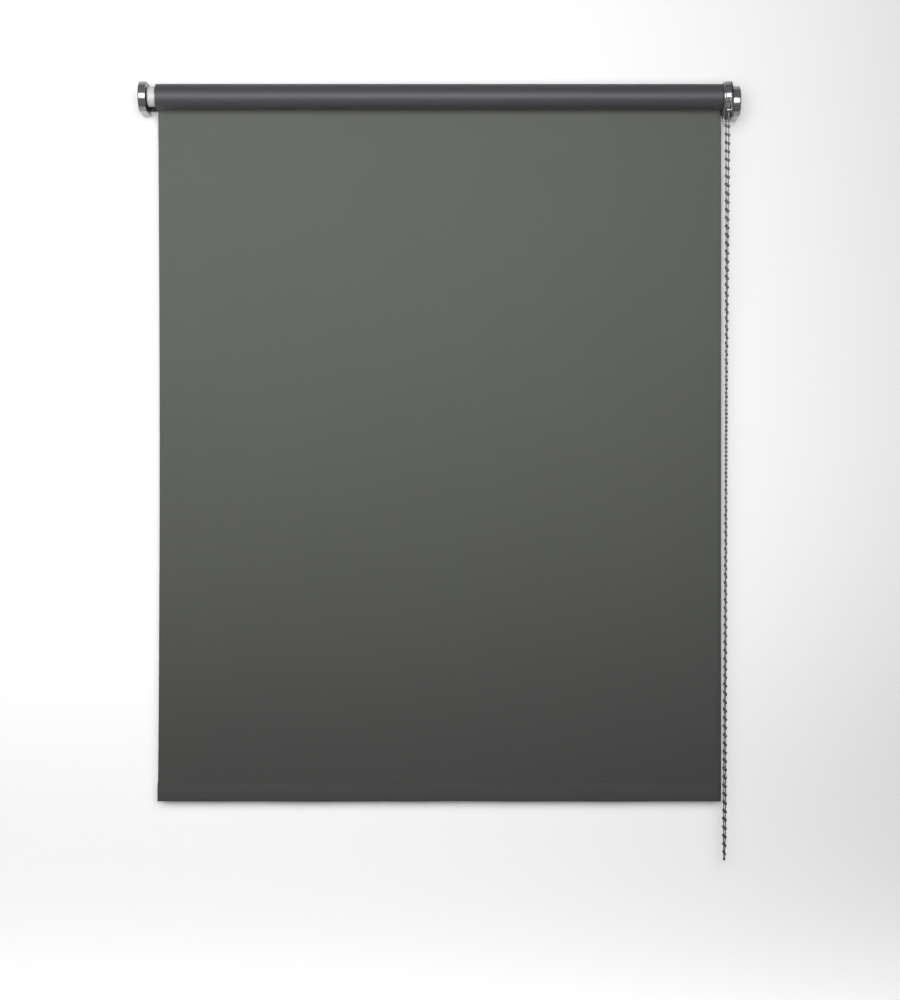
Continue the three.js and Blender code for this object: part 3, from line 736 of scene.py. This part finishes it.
def make_screw(node):
    """A cross-head screw: threads that climb one pitch in each turn, a tapered point, and a domed
    head with a cross sunk into it."""
    low, high = (np.array(corner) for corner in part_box(node))
    x, z = (low[0] + high[0]) / 2, (low[2] + high[2]) / 2
    head_radius = (high[0] - low[0]) / 2
    head = 0.0022
    seat = low[1] + head
    tip = high[1]
    thread_radius = 0.00175
    root, pitch, point = 0.0012, 0.0013, 0.004
    slot_wall, slot_end, slot_depth = (0.0003, 0.0006), (0.0017, 0.0022), 0.0012
    head_wall = 0.3 * head
    sides = 48
    angle = np.linspace(0, 2 * np.pi, sides, endpoint=False)[None, :]
    depth = np.linspace(tip, seat, 150)[:, None]
    climb = (depth / pitch + angle / (2 * np.pi)) % 1
    ridge = np.clip(1 - np.abs(climb - 0.5) * 3.2, 0, 1)
    taper = np.clip((tip - depth) / point, 0, 1)
    shank = (root + (thread_radius - root) * ridge) * taper
    share = np.linspace(0, 1, 22)[:, None]
    dome_radius = head_radius * np.cos(share * np.pi / 2)
    rise = head_wall + (head - head_wall) * np.sin(share * np.pi / 2)
    along_x, along_z = dome_radius * np.cos(angle), dome_radius * np.sin(angle)
    narrow = np.minimum(np.abs(along_x), np.abs(along_z))
    long = np.maximum(np.abs(along_x), np.abs(along_z))
    cross = (1 - fade(narrow, *slot_wall)) * (1 - fade(long, *slot_end))
    dome = seat - rise + slot_depth * cross
    under_head = np.full((1, sides), seat)
    radius = np.concatenate([shank, np.full((2, sides), head_radius), dome_radius + 0 * angle])
    y = np.concatenate([depth + 0 * angle, under_head, under_head - head_wall, dome])
    points = np.stack([x + radius * np.cos(angle), y, z + radius * np.sin(angle)], -1)
    made = shell(node.replace("bracket_screw", "wall_screw"), points, ring=True)
    return finished(made, LOOKS["steel"], "brackets", [node])


# ---- idle end -----------------------------------------------------------------------------


def make_plug():
    """The idle-end plug: a rounded flange, and a ribbed grip that goes into the tube."""
    low, high = (np.array(corner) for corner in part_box("idle_end_plug"))
    radius = (high[2] - low[2]) / 2
    inside = TUBE_LOW[0] - 0.0001
    grip = TUBE_RADIUS - 0.00115
    bore = 0.0042
    pocket = low[0] + 0.0258
    rib_count, rib_depth = 12, 0.05
    sides = 96
    corners = [
        [low[0], bore],
        [low[0], radius - 0.0014],
        [low[0] + 0.0012, radius],
        [inside, radius],
        [inside, grip],
        [high[0], grip],
        [high[0], 0.0005],
        [pocket, 0.0005],
        [pocket, bore],
    ]
    radii = np.array([0.4, 1.0, 0.7, 0.5, 0.2, 1.0, 0.1, 0.1, 0.2]) / 1000
    points = turned(rounded(corners, radii, 5), sides)
    angle = np.linspace(0, 2 * np.pi, sides, endpoint=False)
    reach = np.hypot(points[..., 1] - AXIS_Y, points[..., 2])
    on_grip = (points[..., 0] > inside + 0.0004) & (reach > bore * 1.2)
    ribs = 1 - rib_depth * (0.5 - 0.5 * np.cos(angle * rib_count)) * on_grip
    points[..., 1] = AXIS_Y + (points[..., 1] - AXIS_Y) * ribs
    points[..., 2] *= ribs
    made = shell("plug", points, ring=True, loop=True)
    return finished(made, LOOKS["white_plastic"], "roller", ["idle_end_plug"])


def make_winding(name, node, wire, turns, body, steps=40):
    """A round wire wound about the roller's axis, in turns that are evenly apart."""
    low, high = (np.array(corner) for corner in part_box(node))
    mean = (high[2] - low[2]) / 2 - wire
    t = np.linspace(0, 1, int(turns * steps))
    angle = 2 * np.pi * turns * t
    x = low[0] + wire + (high[0] - low[0] - 2 * wire) * t
    radial = np.stack([0 * t, np.cos(angle), np.sin(angle)], -1)
    path = np.stack([x, 0 * t + AXIS_Y, 0 * t], -1) + mean * radial
    made = shell(name, swept(path, radial, wire, 10), ring=True, ends="rows")
    return finished(made, LOOKS["steel"], body, [node])


# ---- clutch -------------------------------------------------------------------------------

FLANGE_LEAN = 0.44  # radians that the flange's legs lean in
GUARD_LEAN = math.radians(19)  # of the guard's front, from its bar down
GUARD_WALL = 0.0016
GUARD_RAIL = 0.0007  # left on each side of the guard's window
WINDOW_TOP = -0.0035
BAR_TOP = -0.015
BAR_FOOT = -0.0176
SLEEVE_HOLE = 0.0064


def flange_outline(radius, inset, foot, arc=61, legs=10, floor=14):
    """Round over the top and a little way under, legs that lean in at a tangent, and flat along
    the foot, drawn in by inset. The rows are successive outlines, one for each inset."""
    inset = np.asarray(inset, dtype=float)[:, None]
    reach = radius - inset
    angle = np.linspace(-FLANGE_LEAN, np.pi + FLANGE_LEAN, arc)
    leg = -(foot + inset) - reach * math.sin(FLANGE_LEAN)
    share = np.linspace(0, 1, legs)[1:]
    out = reach * math.cos(FLANGE_LEAN) - share * leg * math.tan(FLANGE_LEAN)
    down = -reach * math.sin(FLANGE_LEAN) - share * leg
    bottom = out[:, -1:] * np.linspace(-1, 1, floor + 1)[1:-1]
    y = np.concatenate([out[:, ::-1], reach * np.cos(angle), -out, bottom], 1)
    z = np.concatenate([down[:, ::-1], reach * np.sin(angle), down, foot + inset + 0 * bottom], 1)
    return AXIS_Y + y, z


def make_flange():
    """The clutch's inner flange: a plate whose outline is closed, with a soft edge on the roller's
    side, and a round bore for the wheel's sleeve."""
    low, high = (np.array(corner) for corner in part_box("clutch_flange"))
    radius = (high[1] - low[1]) / 2
    inside = 0.003
    corners = [[low[0], inside], [low[0], 0], [high[0], 0], [high[0], inside]]
    profile = rounded(corners, np.array([0.1, 1.2, 0.3, 0.1]) / 1000, 6)
    y, z = flange_outline(radius, profile[:, 1], low[2])
    turn = np.arctan2(z[:1], y[:1] - AXIS_Y)
    hole_y = AXIS_Y + SLEEVE_HOLE * np.cos(turn)
    hole_z = SLEEVE_HOLE * np.sin(turn)
    y = np.concatenate([hole_y, y, hole_y])
    z = np.concatenate([hole_z, z, hole_z])
    stations = np.concatenate([[low[0]], profile[:, 0], [high[0]]])[:, None]
    points = np.stack([np.broadcast_to(stations, y.shape), y, z], -1)
    made = shell("inner_flange", points, ring=True, loop=True)
    return finished(made, LOOKS["moulding"], "brackets", ["clutch_flange"])


def make_guard():
    """The chain guard: a thick skin over the wheel. Its front has a window, a bar below that and
    then the way out for the chain, and leans in from the bar down."""
    low, high = (np.array(corner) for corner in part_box("chain_guard"))
    radius = (high[1] - low[1]) / 2
    front = np.concatenate([
        np.linspace(low[2], BAR_FOOT, 4),
        np.linspace(BAR_TOP, WINDOW_TOP, 8),
        np.linspace(WINDOW_TOP / 2, 0, 2),
    ])
    angle = np.linspace(0, np.pi, 49)[1:-1]
    back = np.linspace(0, low[2], 9)
    lean = math.tan(GUARD_LEAN) * np.clip(BAR_TOP - front, 0, None)
    y = AXIS_Y + np.concatenate([lean - radius, -radius * np.cos(angle), 0 * back + radius])
    z = np.concatenate([front, radius * np.sin(angle), back])
    middle = (low[0] + high[0]) / 2
    x = np.array([low[0], low[0] + GUARD_RAIL, middle, high[0] - GUARD_RAIL, high[0]])
    rows, columns = len(z), len(x)
    points = np.stack(np.broadcast_arrays(x[None, :], y[:, None], z[:, None]), -1)
    faces = np.array(grid_faces(rows, columns))
    row, column = faces[:, 0] // columns, faces[:, 0] % columns
    middle_z = (z[row] + z[np.minimum(row + 1, rows - 1)]) / 2
    is_front = row < len(front) - 1
    between = (column > 0) & (column < columns - 2)
    in_window = (middle_z > BAR_TOP) & (middle_z < WINDOW_TOP)
    is_open = is_front & between & (in_window | (middle_z < BAR_FOOT))
    mesh = bpy.data.meshes.new("guard")
    mesh.from_pydata(points.reshape(-1, 3).tolist(), [], faces[~is_open].tolist())
    smooth(mesh)
    made = linked("guard", mesh)
    skin = made.modifiers.new("wall", "SOLIDIFY")
    skin.thickness = GUARD_WALL
    skin.offset = -1
    edge = made.modifiers.new("edge", "BEVEL")
    edge.width = 0.0003
    edge.segments = 3
    edge.limit_method = "ANGLE"
    edge.angle_limit = SHARP
    return finished(made, LOOKS["moulding"], "brackets", ["chain_guard"])


def make_wheel():
    """The chain wheel: eight round pockets for the beads and a slot for the cord between them.

    Along a ray from the axis, a pocket's wall is where the ray meets a sphere on the pitch circle,
    and the slot's wall is the same for a thinner groove that runs all the way round.
    """
    rim = (WHEEL_HIGH[2] - WHEEL_LOW[2]) / 2
    pockets, pocket, slot = 8, BEAD_RADIUS + 0.0003, CORD_RADIUS + 0.0003
    right = WHEEL_HIGH[0]
    half, edge = 0.0025, 0.0003
    middle = right - half
    sides = pockets * 28
    angle = np.linspace(0, 2 * np.pi, sides, endpoint=False)
    off = (angle * pockets / (2 * np.pi) + 0.5) % 1 - 0.5
    off = off * 2 * np.pi / pockets
    x = np.linspace(half - edge, -half + edge, 27)[:, None]
    inside = pocket**2 - x**2 - (CHAIN_TURN * np.sin(off)) ** 2
    sphere = np.where(inside > 0, CHAIN_TURN * np.cos(off) - np.sqrt(np.maximum(inside, 0)), rim)
    groove = np.where(np.abs(x) < slot, CHAIN_TURN - np.sqrt(np.maximum(slot**2 - x**2, 0)), rim)
    tread = np.minimum(np.minimum(sphere, groove), rim)
    bore, sleeve_bore, sleeve = 0.0039, 0.00499, 0.00599
    left, end = middle - half, WHEEL_LOW[0]
    before = [[left, bore], [right, bore], [right, rim - edge]]
    after = [
        [left, rim - edge],
        [left, sleeve],
        [end + edge, sleeve],
        [end, sleeve - edge],
        [end, sleeve_bore],
        [left, sleeve_bore],
    ]
    tread_points = np.stack([
        np.broadcast_to(middle + x, tread.shape),
        AXIS_Y + tread * np.cos(angle),
        tread * np.sin(angle),
    ], -1)
    points = np.concatenate([turned(before, sides), tread_points, turned(after, sides)])
    made = shell("sprocket", points, ring=True, loop=True)
    return finished(made, LOOKS["grey_plastic"], "wheel", ["chain_wheel"])


# ---- stage --------------------------------------------------------------------------------

WALL_SHADE = 1.05  # level with the roller
WALL_PAINTED_LIGHT_LIFT = 1.9  # painted light added to it, times the square of the distance above or below the roller, where the lights fall off
# the most that the wall's colour, its painted light included, may reach
WALL_PAINTED_LIGHT_MOST = 3.0
WALL_GLOW = 0.1
WALL_PAINTED_GLOW_FAR = 0.75  # painted light: the glow well to the sides, where the lights don't reach
WALL_FAR = (0.4, 2.5)  # squares of the distances to the side between which the painted glow grows
FLOOR_Z = -1.5
FLOOR_GLOW = 0.55
BACKDROP = 0.86  # what the camera sees past the wall and the floor
AMBIENT = 0.075  # light from every side

# Place, the point that it faces, width and height, watts, and spread in degrees
MAIN_LIGHT = (-0.36, -1.27, -0.035), (-0.36, 0, -0.035), (1.94, 0.85), 6.4, 80
LOW_LIGHT = (0, -1.27, -1.3), (0, 0, -1.3), (1.9, 0.3), 1.6, 50
BACK_LIGHT = (0.9, 1.9, 0.7), (0, 0, -0.35), (1.6, 1.2), 36, 180


def plane(name, corners, look):
    mesh = bpy.data.meshes.new(name)
    mesh.from_pydata(corners, [], [[0, 1, 2, 3]])
    mesh.materials.append(look)
    made = linked(name, mesh)
    return made


def make_stage():
    """A pale floor that glows, and a wall that is seen from the front only, with painted light: its
    colour is paler above and below the roller, and it glows more to the sides, where the lights fall
    off."""
    paint = Finish("wall_with_painted_light")
    tree = paint.tree
    tree.nodes.remove(paint.shader)
    apart = paint.node("SeparateXYZ", {"Vector": paint.place()}).outputs
    aside, height = apart["X"], apart["Z"]
    # Painted light: the wall's colour grows with the square of the height off the roller, where the
    # lights fall off.
    lift = paint.math("MULTIPLY", paint.math("MULTIPLY", height, height), WALL_PAINTED_LIGHT_LIFT)
    shade = paint.math("MINIMUM", paint.math("ADD", lift, WALL_SHADE), WALL_PAINTED_LIGHT_MOST)
    lit = paint.node("BsdfDiffuse", {"Color": shade}).outputs[0]
    aside = paint.math("MULTIPLY", aside, aside)
    # Painted light: the wall glows more towards the sides, where the lights don't reach.
    far = paint.spread(aside, WALL_GLOW, WALL_PAINTED_GLOW_FAR, WALL_FAR)
    glow = paint.node("Emission", {"Strength": far}).outputs[0]
    seen = paint.node("AddShader", {0: lit, 1: glow}).outputs[0]
    gone = paint.node("BsdfTransparent").outputs[0]
    side = paint.node("NewGeometry").outputs["Backfacing"]
    both = paint.node("MixShader", {0: side, 1: seen, 2: gone})
    tree.links.new(both.outputs[0], tree.nodes["Material Output"].inputs["Surface"])
    wall = plane("wall", [(-4, 0, FLOOR_Z), (4, 0, FLOOR_Z), (4, 0, 3), (-4, 0, 3)], paint.material)
    wall.visible_shadow = False
    wall.visible_diffuse = False
    boards = Finish("floor_paint", Base_Color=grey(0.8), Roughness=0.8, Emission_Color=grey(1.0))
    boards.shader.inputs["Emission Strength"].default_value = FLOOR_GLOW
    corners = [(-5, -5, FLOOR_Z), (5, -5, FLOOR_Z), (5, 5, FLOOR_Z), (-5, 5, FLOOR_Z)]
    floor = plane("floor", corners, boards.material)
    floor.visible_diffuse = False
    floor.visible_glossy = False


def make_world():
    """A dim even light from every side, and a pale backdrop behind the stage."""
    world = bpy.data.worlds.new("studio")
    world.use_nodes = True
    bpy.context.scene.world = world
    tree = world.node_tree
    shade = tree.nodes["Background"]
    shade.inputs["Color"].default_value = grey(1.0)
    shade.inputs["Strength"].default_value = AMBIENT
    pale = tree.nodes.new("ShaderNodeBackground")
    pale.inputs["Color"].default_value = grey(BACKDROP)
    pick = tree.nodes.new("ShaderNodeMixShader")
    seen = tree.nodes.new("ShaderNodeLightPath")
    tree.links.new(seen.outputs["Is Camera Ray"], pick.inputs[0])
    tree.links.new(shade.outputs[0], pick.inputs[1])
    tree.links.new(pale.outputs[0], pick.inputs[2])
    tree.links.new(pick.outputs[0], tree.nodes["World Output"].inputs["Surface"])


def softbox(name, place, aim, size, power, spread):
    light = bpy.data.lights.new(name, "AREA")
    light.shape = "RECTANGLE"
    light.size, light.size_y = size
    light.energy = power
    light.spread = math.radians(spread)
    made = bpy.data.objects.new(name, light)
    made.location = place
    made.rotation_euler = (Vector(aim) - Vector(place)).to_track_quat("-Z", "Y").to_euler()
    made.visible_camera = False
    bpy.context.scene.collection.objects.link(made)


def make_lights():
    """A broad softbox in front, level with the roller and narrow in its spread, a low one below it
    for the cloth when it is let down, and one behind."""
    softbox("main", *MAIN_LIGHT)
    softbox("low", *LOW_LIGHT)
    softbox("behind", *BACK_LIGHT)


# ---- assembly -----------------------------------------------------------------------------

make_camera()
make_chain()

sheet_top = make_sheet_top()
sheet = make_hanging_sheet()
make_roll()
hem = make_hem()

make_cover("left_cover", "left_bracket_cover", -1)
make_cover("right_cover", "right_bracket_cover", 1)
for screw_node in [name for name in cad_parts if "_screw_" in name]:
    make_screw(screw_node)
softened("left_wall_bracket", "left_bracket", LOOKS["painted_steel"], "brackets")
softened("right_wall_bracket", "right_bracket", LOOKS["painted_steel"], "brackets")

make_plug()
softened("plug_pin", "idle_pin", LOOKS["steel"], "pin", 0.0002)
pin_spring = make_winding("plug_spring", "idle_pin_spring", 0.00035, 6, "brackets")
spring_low, spring_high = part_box("idle_pin_spring")
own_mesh(pin_spring)

softened("tube", "roller_tube", LOOKS["aluminium"], "roller", 0.0001)
softened("tape", "cloth_tape", LOOKS["tape"], "roller", 0.00004)
softened("bar", "bottom_bar", LOOKS["aluminium"], "hem", 0.0002)

make_flange()
make_guard()
make_wheel()
softened("core", "clutch_core", LOOKS["black_plastic"], "brackets")
softened("hub", "drive_hub", LOOKS["black_plastic"], "roller")
for number in (1, 2):
    make_winding(f"brake_spring_{number}", f"wrap_spring_{number}", 0.00042, 6, "brackets")

make_stage()
make_world()
make_lights()
bpy.context.scene.view_settings.view_transform = "Standard"
